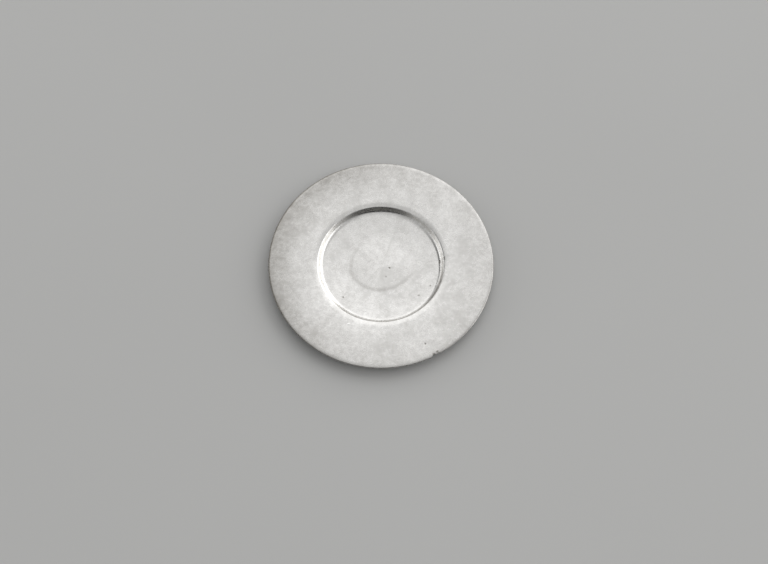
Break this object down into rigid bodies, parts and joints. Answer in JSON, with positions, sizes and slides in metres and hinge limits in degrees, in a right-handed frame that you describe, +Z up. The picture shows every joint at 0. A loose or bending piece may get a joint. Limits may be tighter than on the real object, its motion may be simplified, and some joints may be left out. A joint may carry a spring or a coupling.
{
  "type": "paten plate",
  "caption": "Round shallow metal plate with a wide, gently rising rim and a sunken well, which holds the bread at communion and can cover a chalice.",
  "frame": {"origin": "middle of the flat face under the well, which the plate rests on", "axes": "+Z up along the plate's axis, out of the well; X and Y lie in the resting face and are alike, because the plate is round"},
  "size_m": [0.15, 0.15, 0.0073],
  "materials": {
    "silver": "satin"
  },
  "bodies": {
    "root": {"paten_plate": "silver"}
  },
  "joints": []
}
